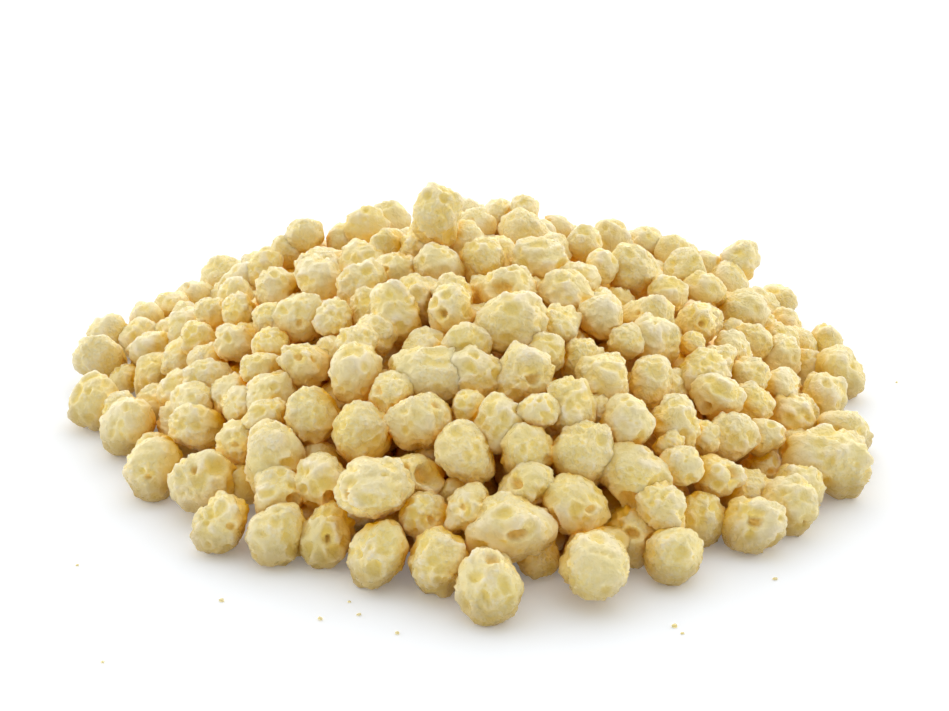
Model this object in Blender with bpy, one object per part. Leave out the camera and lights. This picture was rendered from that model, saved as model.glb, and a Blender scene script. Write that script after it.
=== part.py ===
"""Popped quinoa: a small heap of popped grains lying loose on a bare surface.

The heap is one solid.  Its core is a low mound with a flat base, and the puffs
that show are fused on at true size as round grains with few sides.  The mound's
form is a formula: with q the distance from the middle as a share of the
footprint's radius, the top layer's centres lie RISE * (1 - q ** SHAPE) high,
plus two soft knolls of the form height * exp(-(distance / radius) ** 2 / 2).
The most striking puffs lie where they do in the heap, given by hand as
(x, y, width, lift).  All the others are poured: each is dropped at a seeded
random place and rolls downhill until the puffs below it hold it up, and none
comes to rest in front of one placed by hand.

Lengths here are millimetres; MM turns them into Blender's metres.
+X runs to the heap's right, -Y is its front, +Z is up, and the base is at z = 0.
"""
import math

import bmesh
import bpy
import numpy as np
from mathutils import Euler, Matrix, Vector

MM = 0.001
NAME = "popped_quinoa_heap"

# The heap, mm
SPREAD = 38.0            # mean radius of the footprint, to the outermost centres
RISE = 16.0              # height of the topmost layer of centres
SHAPE = 2.2              # 1 is a cone, 2 a dome with a parabola's profile
WAVES = ((2, -0.035, 0.46), (3, -0.025, -0.50))   # lobes, share of SPREAD, phase
MIDDLE = (-1.02, -2.37)  # middle of the heap's box, which becomes the origin
KNOLLS = ((27.0, 15.0, 6.0, 2.5), (-19.0, 13.0, 6.0, 1.0))    # x, y, radius, height

# The poured puffs, mm
PUFF_RADIUS = 2.45
RADIUS_SPREAD = 0.25
RADIUS_RANGE = (1.9, 3.1)
SMALL_SHARE = 0.85       # the last ones poured are smaller, and fill the gaps
POURED = 3500
POUR_SEED = 3
NEST = 0.93              # uneven puffs touch at this share of their two radii
CLEAR = 0.84             # and keep this share from the ones placed by hand
SIGHT = (0.0, -0.906, 0.423)    # way to where the heap is looked at from
IN_FRONT = 0.7           # share of the two radii that a puff in front keeps aside
TOP_SLACK = 0.3          # how far a puff may stand proud of the mound's form
EDGE = 0.98              # poured puffs stop at this share of the footprint's radius
ROLL_START = 1.6         # first and last step of a puff that rolls downhill
ROLL_END = 0.05
LOST = 1000.0            # height given to a place that is already taken

# Striking puffs, mm: x, y and width on the surface, and x, y, width and lift over the form
FOOT = (
    (-8.5, -36.0, 5.2), (-3.5, -37.5, 5.3), (1.0, -41.5, 5.4), (5.0, -34.5, 3.7), (9.5, -39.0, 5.7),
    (13.0, -32.0, 4.9), (16.5, -35.5, 4.9), (19.0, -29.0, 4.8), (23.5, -30.0, 4.8),
    (27.5, -27.0, 4.7), (26.0, -19.5, 4.1), (32.0, -20.0, 6.2), (29.5, -14.0, 3.9),
    (35.0, -11.5, 4.8), (34.0, -4.0, 4.9), (37.0, 2.5, 5.1), (37.0, 11.5, 4.2), (33.5, 15.5, 4.2),
    (34.0, 24.0, 4.2), (-36.0, 16.5, 4.5), (-39.5, 13.5, 4.6), (-39.0, 5.5, 5.2), (-36.0, 3.0, 3.2),
    (-32.5, 1.0, 5.0), (-37.5, -4.5, 5.2), (-31.5, -4.5, 4.2), (-33.0, -11.0, 5.6),
    (-29.5, -20.0, 5.1), (-24.5, -23.5, 5.9), (-22.0, -30.0, 4.7), (-17.5, -32.0, 5.1),
    (-13.0, -32.0, 4.9), (1.0, -37.5, 4.0), (34.0, 4.5, 4.4), (34.0, 10.0, 4.4),
    (31.5, 21.0, 4.6), (-36.0, 12.5, 4.6), (34.0, -15.5, 4.2), (-28.0, 23.5, 4.6),
)
CROWN = (
    (-33.5, 20.5, 4.0, 1.0), (-33.0, 5.0, 4.7, 0), (-31.5, 23.5, 4.6, 0), (-28.5, 27.5, 5.2, 1.0),
    (-26.5, 3.0, 3.7, 0), (-24.5, 5.0, 3.6, 0), (-22.0, 10.5, 3.9, 0), (-20.0, 14.0, 4.0, 0.5),
    (-18.0, 13.5, 3.9, 1.5), (-14.0, 14.5, 3.7, 0), (-11.5, 13.5, 4.2, 1.0), (-9.0, 5.0, 4.0, 0),
    (-9.0, 16.0, 4.4, 1.0), (-4.0, 2.5, 5.4, 3.5), (-0.5, 14.0, 4.2, 0),
    (-5.5, 3.5, 4.6, 0), (-2.0, 4.0, 4.6, 0), (2.5, 17.5, 4.1, 1.0),
    (5.0, 11.0, 4.7, 0), (5.0, 16.0, 3.3, 2.0), (8.5, 16.5, 3.1, 0.5), (10.5, 7.0, 4.1, 0),
    (13.5, 13.0, 4.7, 0), (15.5, 2.5, 5.5, 0), (18.0, 16.0, 3.9, 0.5), (21.0, 14.0, 4.2, 0),
    (21.5, 8.5, 4.4, 0), (23.0, 5.0, 4.1, 0), (25.0, 15.0, 3.9, 0), (26.5, 11.5, 4.3, 0),
    (27.0, 5.5, 5.2, 0), (28.0, 14.5, 4.1, 3.0),
)
FACE = (
    (-27.5, -1.5, 3.6, 0), (-23.5, 0.0, 3.3, 0), (-20.0, 0.5, 4.4, 0), (-15.5, -0.5, 4.8, 0),
    (-4.0, -2.0, 4.7, 0), (0.5, -1.5, 4.4, 0), (6.0, -1.5, 5.1, 0), (12.0, 0.5, 3.5, 0),
    (18.5, -1.0, 3.9, 0), (27.5, 0.0, 3.7, 0), (30.5, 0.5, 4.7, 0), (-11.0, -4.0, 4.3, 0),
    (21.0, -5.0, 4.0, 0), (-25.5, -10.0, 4.2, -0.5), (-23.5, -6.5, 3.7, 0), (-20.0, -6.0, 3.5, 0),
    (-19.5, -10.0, 3.3, 0), (-17.0, -7.0, 4.7, 0), (-13.5, -9.5, 3.4, 0), (3.0, -8.0, 4.6, 0),
    (8.5, -7.5, 4.7, 0), (16.0, -8.5, 4.4, 0), (20.0, -10.0, 2.4, 0), (24.5, -7.0, 3.7, 0),
    (29.0, -8.0, 4.0, 0), (-26.5, -13.5, 4.1, 0.5), (-20.0, -13.0, 3.7, 0),
    (-9.5, -13.0, 3.9, -0.5), (-7.5, -10.5, 4.8, 0), (-2.5, -12.0, 4.7, 0), (7.5, -13.5, 4.6, -0.5),
    (11.5, -11.0, 4.4, 0), (16.5, -12.0, 4.7, 0), (25.5, -10.5, 4.0, 0), (30.0, -11.0, 4.5, -0.5),
    (-26.0, -16.5, 4.6, 0.5), (-22.0, -16.5, 3.4, 0), (-19.0, -17.0, 4.2, 0),
    (-16.0, -14.5, 4.3, 0), (-11.0, -15.5, 3.4, 1.0), (3.0, -14.5, 6.1, 0.5), (6.0, -17.5, 3.7, 0),
    (9.5, -16.5, 4.1, -1.0), (13.5, -14.0, 3.3, 0), (15.5, -18.0, 4.3, 0), (20.5, -14.0, 4.4, 0),
    (22.0, -17.0, 4.4, 0.5), (25.5, -14.5, 3.9, 0), (-21.5, -20.5, 4.3, -0.5),
    (-19.0, -20.0, 3.8, 0.5), (-15.0, -21.0, 4.9, 0), (-11.0, -19.0, 5.3, 0.5),
    (-4.5, -19.5, 6.1, -0.5), (0.0, -20.5, 4.6, 0), (4.0, -21.0, 5.2, 0), (11.0, -20.0, 4.8, 0.5),
    (22.5, -20.5, 4.7, -0.5), (26.0, -19.0, 3.5, 0.5), (-21.0, -23.0, 4.0, -2.0),
    (-18.0, -24.5, 5.9, 0.5), (-10.5, -25.0, 5.2, 0), (-7.5, -22.0, 3.8, 0.5),
    (-5.5, -25.0, 5.2, 0), (-1.0, -24.0, 3.1, 0), (1.5, -26.0, 4.7, 0), (5.0, -26.0, 3.3, 1.5),
    (8.0, -24.5, 4.8, 0.5), (10.5, -23.0, 3.2, -0.5), (13.0, -25.0, 4.7, 1.0),
    (16.5, -25.5, 2.4, 0.5), (17.5, -23.0, 4.5, 0.5), (20.0, -22.0, 3.0, -0.5),
    (21.0, -26.0, 3.9, 0), (-17.5, -28.5, 4.4, 1.0), (-13.5, -28.0, 4.8, 0),
    (-6.0, -29.0, 4.9, -1.0), (-1.0, -28.5, 5.3, 0), (4.0, -28.5, 4.7, 0), (9.0, -28.0, 5.5, 0),
    (13.5, -29.0, 5.5, 0), (17.5, -27.5, 3.8, 1.0), (-8.5, -32.5, 5.7, 2.5), (-4.5, -33.0, 3.8, 0),
    (-1.0, -33.5, 3.9, 0.5), (4.0, -31.5, 4.3, 0), (8.0, -32.5, 5.2, 0), (15.5, -32.5, 4.0, 1.5),
    (2.5, -35.5, 5.9, 1.5),
)

# What of it is fused on, mm
LOOKS = 48               # directions tried from each puff's skin
LOOK_STEPS = (0.4, 1.2, 2.4, 4.0, 6.5)   # distances along them that must be free
SHOWN = 0.28             # a poured puff is fused on when this share of its skin sees out
GROW_SEATED = 1.04       # few-sided grains are drawn a little wide, to keep their bulk,
GROW_PERCHED = 1.17      # and wider where they only touch their neighbours
SEAT_DEPTH = 0.4         # a seated grain reaches this far into the core
FLOOR_GAP = 0.05         # grains stay this far over the surface; the base lies on it
TURN_SEED = 11

# The core, mm
CORE_SUNK = 0.8          # core below the centres of the top layer
CORE_RINGS = 9
CORE_SIDES = 40
CORE_EDGE = 0.6          # height of its upright rim
CORE_SHARE = 0.97        # its radius as a share of the footprint's

COLOUR = (0.87, 0.74, 0.46, 1.0)
ROUGHNESS = 0.55


def rim(angle):
    """Radius of the uneven footprint in one direction."""
    waves = sum(share * math.cos(lobes * angle - phase) for lobes, share, phase in WAVES)
    return SPREAD * (1.0 + waves)


def share_out(x, y):
    """Distance from the middle as a share of the footprint's radius there."""
    return math.hypot(x, y) / rim(math.atan2(y, x))


def top_height(x, y):
    """Height of the top layer's centres over a place."""
    height = RISE * (1.0 - share_out(x, y) ** SHAPE)
    for knoll_x, knoll_y, radius, rise in KNOLLS:
        apart = math.hypot(x - knoll_x, y - knoll_y) / radius
        height += rise * math.exp(-apart * apart / 2.0)
    return height


def striking_puffs():
    """Rows x, y, z, radius of the puffs placed by hand, on the surface or on the form."""
    rows = [(x, y, width / 2.0, width / 2.0) for x, y, width in FOOT]
    for x, y, width, lift in CROWN + FACE:
        height = max(width / 2.0, top_height(x, y)) + lift
        rows.append((x, y, round(height, 4), width / 2.0))
    return np.array(rows)


def held_height(puffs, x, y, radius):
    """Height at which a puff over each place (x, y) rests on the ones below it."""
    apart = (x[:, None] - puffs[:, 0]) ** 2 + (y[:, None] - puffs[:, 1]) ** 2
    reach = (NEST * (puffs[:, 3] + radius)) ** 2 - apart
    held = np.where(reach > 0.0, puffs[:, 2] + np.sqrt(np.maximum(reach, 0.0)), radius)
    return np.maximum(held.max(axis=1, initial=radius), radius)


def taken(puffs, x, y, z, radius):
    """Whether a puff at each place would run into one placed by hand, or hide it."""
    apart = np.stack([x, y, z], axis=1)[:, None] - puffs[:, :3]
    ahead = apart @ np.array(SIGHT)
    straight = (apart ** 2).sum(axis=2)
    reach = (puffs[:, 3] + radius) ** 2
    hides = (ahead > 0.0) & (straight - ahead ** 2 < IN_FRONT ** 2 * reach)
    return (hides | (straight < CLEAR ** 2 * reach)).any(axis=1)


def roll(poured, striking, x, y, radius):
    """Let a puff dropped at (x, y) roll downhill; its last place as x, y, z."""
    def height(xs, ys):
        zs = held_height(poured, xs, ys, radius)
        return np.where(taken(striking, xs, ys, zs, radius), LOST, zs)

    turns = [(math.cos(k * math.pi / 4.0), math.sin(k * math.pi / 4.0)) for k in range(8)]
    ways = np.array(turns).round(9)
    z = float(height(np.array([x]), np.array([y]))[0])
    step = ROLL_START
    while step > ROLL_END:
        xs = x + step * ways[:, 0]
        ys = y + step * ways[:, 1]
        zs = height(xs, ys)
        best = int(zs.argmin())
        if zs[best] < z - 1e-4:
            x, y, z = (round(float(v[best]), 4) for v in (xs, ys, zs))
        else:
            step /= 2.0
    return x, y, z


def pour(striking):
    """Rows x, y, z, radius of the poured puffs that came to rest inside the form."""
    chance = np.random.default_rng(POUR_SEED)
    poured = np.zeros((0, 4))
    for drop in range(POURED):
        angle = chance.uniform(0.0, 2.0 * math.pi)
        out = math.sqrt(chance.uniform(0.0, 1.0)) * rim(angle)
        swing = sum(chance.uniform(-1.0, 1.0) for _ in range(3))
        radius = PUFF_RADIUS + RADIUS_SPREAD * swing
        if drop > 0.6 * POURED:
            radius *= SMALL_SHARE
        radius = round(min(max(radius, RADIUS_RANGE[0]), RADIUS_RANGE[1]), 3)
        x, y, z = roll(poured, striking, out * math.cos(angle), out * math.sin(angle), radius)
        inside = share_out(x, y) <= EDGE and z <= max(radius, top_height(x, y) + TOP_SLACK)
        if inside:
            poured = np.vstack([poured, (x, y, z, radius)])
    return poured


def directions(count):
    """Unit vectors spread evenly over a sphere along a spiral."""
    rows = []
    for k in range(count):
        z = 1.0 - (2.0 * k + 1.0) / count
        turn = k * math.pi * (3.0 - math.sqrt(5.0))
        flat = math.sqrt(1.0 - z * z)
        rows.append((flat * math.cos(turn), flat * math.sin(turn), z))
    return np.array(rows).round(9)


def shown_share(puffs):
    """Share of each puff's skin from which a straight look outward is free."""
    ways = directions(LOOKS)
    shares = []
    for x, y, z, radius in puffs:
        middle = np.array((x, y, z))
        free = np.ones(len(ways), bool)
        for step in LOOK_STEPS:
            spots = middle + (radius + step) * ways
            apart = ((spots[:, None, :] - puffs[None, :, :3]) ** 2).sum(axis=2)
            free &= ~(apart < puffs[:, 3] ** 2).any(axis=1)
            free &= spots[:, 2] > 0.0
        shares.append(free.mean())
    return np.array(shares)


def material(name, colour, roughness):
    """A plain Principled material."""
    made = bpy.data.materials.new(name)
    made.use_nodes = True
    shader = made.node_tree.nodes["Principled BSDF"]
    shader.inputs["Base Color"].default_value = colour
    shader.inputs["Roughness"].default_value = roughness
    return made


def add_object(name, mesh_data, collection):
    """Write a bmesh into a new object of the collection."""
    mesh = bpy.data.meshes.new(name)
    mesh_data.to_mesh(mesh)
    mesh_data.free()
    made = bpy.data.objects.new(name, mesh)
    collection.objects.link(made)
    return made


def core_height(x, y):
    """Height of the core over a place; none past its rim."""
    if share_out(x, y) > CORE_SHARE:
        return 0.0
    return max(CORE_EDGE, top_height(x, y) - CORE_SUNK)


def core(collection):
    """The mound under the top layer: rings of the form, closed by a flat base."""
    shape = bmesh.new()
    angles = [2.0 * math.pi * n / CORE_SIDES for n in range(CORE_SIDES)]
    loops = []
    for k in range(-1, CORE_RINGS):
        out = CORE_SHARE * math.sqrt(1.0 - max(k, 0) / CORE_RINGS)
        loop = []
        for angle in angles:
            x = out * rim(angle) * math.cos(angle)
            y = out * rim(angle) * math.sin(angle)
            z = 0.0 if k < 0 else max(CORE_EDGE, top_height(x, y) - CORE_SUNK)
            loop.append(shape.verts.new(Vector((x, y, z)) * MM))
        loops.append(loop)
    for low, high in zip(loops, loops[1:]):
        for n in range(CORE_SIDES):
            m = (n + 1) % CORE_SIDES
            shape.faces.new((low[n], low[m], high[m], high[n]))
    peak = shape.verts.new(Vector((0.0, 0.0, core_height(0.0, 0.0))) * MM)
    for n in range(CORE_SIDES):
        shape.faces.new((loops[-1][n], loops[-1][(n + 1) % CORE_SIDES], peak))
    shape.faces.new(tuple(reversed(loops[0])))
    bmesh.ops.recalc_face_normals(shape, faces=shape.faces[:])
    return add_object(NAME, shape, collection)


def grain(number, puff, turn, collection):
    """One round grain with few sides, turned its own way and kept over the surface."""
    x, y, z, radius = (float(v) for v in puff)
    seated = z - radius < core_height(x, y) - SEAT_DEPTH
    drawn = radius * (GROW_SEATED if seated else GROW_PERCHED)
    shape = bmesh.new()
    bmesh.ops.create_icosphere(shape, subdivisions=1, radius=drawn * MM)
    place = Matrix.Translation(Vector((x, y, z)) * MM) @ Euler(turn).to_matrix().to_4x4()
    bmesh.ops.transform(shape, matrix=place, verts=shape.verts[:])
    for vert in shape.verts:
        vert.co.z = max(vert.co.z, FLOOR_GAP * MM)
    return add_object(f"grain_{number}", shape, collection)


def fuse(body, grains):
    """Join the grains to the core with one Boolean union, and drop their objects."""
    union = body.modifiers.new("union", "BOOLEAN")
    union.operation = "UNION"
    union.solver = "MANIFOLD"
    union.operand_type = "COLLECTION"
    union.collection = grains
    evaluated = body.evaluated_get(bpy.context.evaluated_depsgraph_get())
    joined = bpy.data.meshes.new_from_object(evaluated)
    body.modifiers.clear()
    body.data = joined
    for piece in list(grains.objects):
        bpy.data.objects.remove(piece, do_unlink=True)
    bpy.data.collections.remove(grains)


def keep_largest(body):
    """Drop loose scraps and the skins of sealed hollows."""
    shape = bmesh.new()
    shape.from_mesh(body.data)
    left = set(shape.verts)
    groups = []
    while left:
        stack = [left.pop()]
        group = set(stack)
        while stack:
            for edge in stack.pop().link_edges:
                for vert in edge.verts:
                    if vert in left:
                        left.discard(vert)
                        group.add(vert)
                        stack.append(vert)
        groups.append(group)
    groups.sort(key=len)
    spare = [vert for group in groups[:-1] for vert in group]
    bmesh.ops.delete(shape, geom=spare, context="VERTS")
    shape.to_mesh(body.data)
    shape.free()


def main():
    """Clear the scene, pour the heap and build its one solid."""
    for old in list(bpy.data.objects):
        bpy.data.objects.remove(old, do_unlink=True)
    home = bpy.data.collections.new(NAME)
    bpy.context.scene.collection.children.link(home)
    grains = bpy.data.collections.new("grains")
    bpy.context.scene.collection.children.link(grains)

    striking = striking_puffs()
    puffs = np.vstack([striking, pour(striking)])
    by_hand = np.arange(len(puffs)) < len(striking)
    shown = puffs[by_hand | (shown_share(puffs) >= SHOWN)]
    chance = np.random.default_rng(TURN_SEED)
    for number, puff in enumerate(shown):
        grain(number, puff, chance.uniform(0.0, 2.0 * math.pi, 3), grains)
    body = core(home)
    fuse(body, grains)
    keep_largest(body)
    body.data.transform(Matrix.Translation(Vector((-MIDDLE[0], -MIDDLE[1], 0.0)) * MM))
    for face in body.data.polygons:
        face.use_smooth = True
    body.data.materials.clear()
    body.data.materials.append(material("popped_quinoa", COLOUR, ROUGHNESS))


main()
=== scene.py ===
"""Popped quinoa: the looks of a small heap of popped grains on a white surface.

Each puff is a ball about 5 mm wide whose thin skin blew up in bubbles while it
popped.  Its radius is a function of the direction from its middle, worked out
for whole arrays at once: a ball pressed flat on some sides, plus domes where
bubbles swelled, minus dimples, windows and open holes where they sank or burst,
plus crust and folds.  The puffs lie where the frame's heap has them: the same
rules place them, and this script repeats those rules and their named sizes.

Lengths are millimetres until a mesh is written; MM turns them into metres.
+X runs to the heap's right, -Y is its front, +Z is up, the surface is z = 0.
"""

import math

import bpy
import numpy as np
from mathutils import Euler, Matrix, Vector


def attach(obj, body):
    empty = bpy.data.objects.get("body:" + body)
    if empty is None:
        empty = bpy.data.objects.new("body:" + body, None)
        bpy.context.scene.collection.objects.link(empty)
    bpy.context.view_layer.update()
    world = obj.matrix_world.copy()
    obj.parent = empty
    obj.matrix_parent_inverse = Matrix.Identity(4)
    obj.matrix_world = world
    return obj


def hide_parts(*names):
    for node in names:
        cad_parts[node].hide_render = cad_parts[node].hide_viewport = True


MM = 0.001
HEAP_NODE = "popped_quinoa_heap"

# The heap, mm (the frame's own sizes)
SPREAD = 38.0            # mean radius of the footprint, to the outermost centres
RISE = 16.0              # height of the topmost layer of centres
SHAPE = 2.2              # 1 is a cone, 2 a dome with a parabola's profile
WAVES = ((2, -0.035, 0.46), (3, -0.025, -0.50))   # lobes, share of SPREAD, phase
KNOLLS = ((27.0, 15.0, 6.0, 2.5), (-19.0, 13.0, 6.0, 1.0))    # x, y, radius, height
MIDDLE = (-1.02, -2.37)  # middle of the heap's box, which becomes the origin

# The poured puffs, mm
PUFF_RADIUS = 2.45
RADIUS_SPREAD = 0.25
RADIUS_RANGE = (1.9, 3.1)
SMALL_SHARE = 0.85       # the last ones poured are smaller, and fill the gaps
POURED = 3500
SMALL_AFTER = 0.6        # share of them that comes before the smaller ones
POUR_SEED = 3
NEST = 0.93              # uneven puffs touch at this share of their two radii
CLEAR = 0.84             # and keep this share from the listed ones
SIGHT = (0.0, -0.906, 0.423)    # way to where the heap is looked at from
IN_FRONT = 0.7           # share of the two radii that a puff in front keeps aside
TOP_SLACK = 0.3          # how far a puff may stand proud of the mound's form
EDGE = 0.98              # poured puffs stop at this share of the footprint's radius
ROLL_START = 1.6         # first and last step of a puff that rolls downhill
ROLL_END = 0.05
ROLL_WAYS = 8            # ways it can turn
LOWER = 1e-4             # a place counts as lower by more than this
LOST = 1000.0            # height given to a place that is already taken

# Striking puffs, mm: x, y and width on the surface, and x, y, width and lift over the form
FOOT = (
    (-8.5, -36.0, 5.2), (-3.5, -37.5, 5.3), (1.0, -41.5, 5.4), (5.0, -34.5, 3.7), (9.5, -39.0, 5.7),
    (13.0, -32.0, 4.9), (16.5, -35.5, 4.9), (19.0, -29.0, 4.8), (23.5, -30.0, 4.8),
    (27.5, -27.0, 4.7), (26.0, -19.5, 4.1), (32.0, -20.0, 6.2), (29.5, -14.0, 3.9),
    (35.0, -11.5, 4.8), (34.0, -4.0, 4.9), (37.0, 2.5, 5.1), (37.0, 11.5, 4.2), (33.5, 15.5, 4.2),
    (34.0, 24.0, 4.2), (-36.0, 16.5, 4.5), (-39.5, 13.5, 4.6), (-39.0, 5.5, 5.2), (-36.0, 3.0, 3.2),
    (-32.5, 1.0, 5.0), (-37.5, -4.5, 5.2), (-31.5, -4.5, 4.2), (-33.0, -11.0, 5.6),
    (-29.5, -20.0, 5.1), (-24.5, -23.5, 5.9), (-22.0, -30.0, 4.7), (-17.5, -32.0, 5.1),
    (-13.0, -32.0, 4.9), (1.0, -37.5, 4.0), (34.0, 4.5, 4.4), (34.0, 10.0, 4.4),
    (31.5, 21.0, 4.6), (-36.0, 12.5, 4.6), (34.0, -15.5, 4.2), (-28.0, 23.5, 4.6),
)
CROWN = (
    (-33.5, 20.5, 4.0, 1.0), (-33.0, 5.0, 4.7, 0), (-31.5, 23.5, 4.6, 0), (-28.5, 27.5, 5.2, 1.0),
    (-26.5, 3.0, 3.7, 0), (-24.5, 5.0, 3.6, 0), (-22.0, 10.5, 3.9, 0), (-20.0, 14.0, 4.0, 0.5),
    (-18.0, 13.5, 3.9, 1.5), (-14.0, 14.5, 3.7, 0), (-11.5, 13.5, 4.2, 1.0), (-9.0, 5.0, 4.0, 0),
    (-9.0, 16.0, 4.4, 1.0), (-4.0, 2.5, 5.4, 3.5), (-0.5, 14.0, 4.2, 0),
    (-5.5, 3.5, 4.6, 0), (-2.0, 4.0, 4.6, 0), (2.5, 17.5, 4.1, 1.0),
    (5.0, 11.0, 4.7, 0), (5.0, 16.0, 3.3, 2.0), (8.5, 16.5, 3.1, 0.5), (10.5, 7.0, 4.1, 0),
    (13.5, 13.0, 4.7, 0), (15.5, 2.5, 5.5, 0), (18.0, 16.0, 3.9, 0.5), (21.0, 14.0, 4.2, 0),
    (21.5, 8.5, 4.4, 0), (23.0, 5.0, 4.1, 0), (25.0, 15.0, 3.9, 0), (26.5, 11.5, 4.3, 0),
    (27.0, 5.5, 5.2, 0), (28.0, 14.5, 4.1, 3.0),
)
FACE = (
    (-27.5, -1.5, 3.6, 0), (-23.5, 0.0, 3.3, 0), (-20.0, 0.5, 4.4, 0), (-15.5, -0.5, 4.8, 0),
    (-4.0, -2.0, 4.7, 0), (0.5, -1.5, 4.4, 0), (6.0, -1.5, 5.1, 0), (12.0, 0.5, 3.5, 0),
    (18.5, -1.0, 3.9, 0), (27.5, 0.0, 3.7, 0), (30.5, 0.5, 4.7, 0), (-11.0, -4.0, 4.3, 0),
    (21.0, -5.0, 4.0, 0), (-25.5, -10.0, 4.2, -0.5), (-23.5, -6.5, 3.7, 0), (-20.0, -6.0, 3.5, 0),
    (-19.5, -10.0, 3.3, 0), (-17.0, -7.0, 4.7, 0), (-13.5, -9.5, 3.4, 0), (3.0, -8.0, 4.6, 0),
    (8.5, -7.5, 4.7, 0), (16.0, -8.5, 4.4, 0), (20.0, -10.0, 2.4, 0), (24.5, -7.0, 3.7, 0),
    (29.0, -8.0, 4.0, 0), (-26.5, -13.5, 4.1, 0.5), (-20.0, -13.0, 3.7, 0),
    (-9.5, -13.0, 3.9, -0.5), (-7.5, -10.5, 4.8, 0), (-2.5, -12.0, 4.7, 0), (7.5, -13.5, 4.6, -0.5),
    (11.5, -11.0, 4.4, 0), (16.5, -12.0, 4.7, 0), (25.5, -10.5, 4.0, 0), (30.0, -11.0, 4.5, -0.5),
    (-26.0, -16.5, 4.6, 0.5), (-22.0, -16.5, 3.4, 0), (-19.0, -17.0, 4.2, 0),
    (-16.0, -14.5, 4.3, 0), (-11.0, -15.5, 3.4, 1.0), (3.0, -14.5, 6.1, 0.5), (6.0, -17.5, 3.7, 0),
    (9.5, -16.5, 4.1, -1.0), (13.5, -14.0, 3.3, 0), (15.5, -18.0, 4.3, 0), (20.5, -14.0, 4.4, 0),
    (22.0, -17.0, 4.4, 0.5), (25.5, -14.5, 3.9, 0), (-21.5, -20.5, 4.3, -0.5),
    (-19.0, -20.0, 3.8, 0.5), (-15.0, -21.0, 4.9, 0), (-11.0, -19.0, 5.3, 0.5),
    (-4.5, -19.5, 6.1, -0.5), (0.0, -20.5, 4.6, 0), (4.0, -21.0, 5.2, 0), (11.0, -20.0, 4.8, 0.5),
    (22.5, -20.5, 4.7, -0.5), (26.0, -19.0, 3.5, 0.5), (-21.0, -23.0, 4.0, -2.0),
    (-18.0, -24.5, 5.9, 0.5), (-10.5, -25.0, 5.2, 0), (-7.5, -22.0, 3.8, 0.5),
    (-5.5, -25.0, 5.2, 0), (-1.0, -24.0, 3.1, 0), (1.5, -26.0, 4.7, 0), (5.0, -26.0, 3.3, 1.5),
    (8.0, -24.5, 4.8, 0.5), (10.5, -23.0, 3.2, -0.5), (13.0, -25.0, 4.7, 1.0),
    (16.5, -25.5, 2.4, 0.5), (17.5, -23.0, 4.5, 0.5), (20.0, -22.0, 3.0, -0.5),
    (21.0, -26.0, 3.9, 0), (-17.5, -28.5, 4.4, 1.0), (-13.5, -28.0, 4.8, 0),
    (-6.0, -29.0, 4.9, -1.0), (-1.0, -28.5, 5.3, 0), (4.0, -28.5, 4.7, 0), (9.0, -28.0, 5.5, 0),
    (13.5, -29.0, 5.5, 0), (17.5, -27.5, 3.8, 1.0), (-8.5, -32.5, 5.7, 2.5), (-4.5, -33.0, 3.8, 0),
    (-1.0, -33.5, 3.9, 0.5), (4.0, -31.5, 4.3, 0), (8.0, -32.5, 5.2, 0), (15.5, -32.5, 4.0, 1.5),
    (2.5, -35.5, 5.9, 1.5),
)

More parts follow.
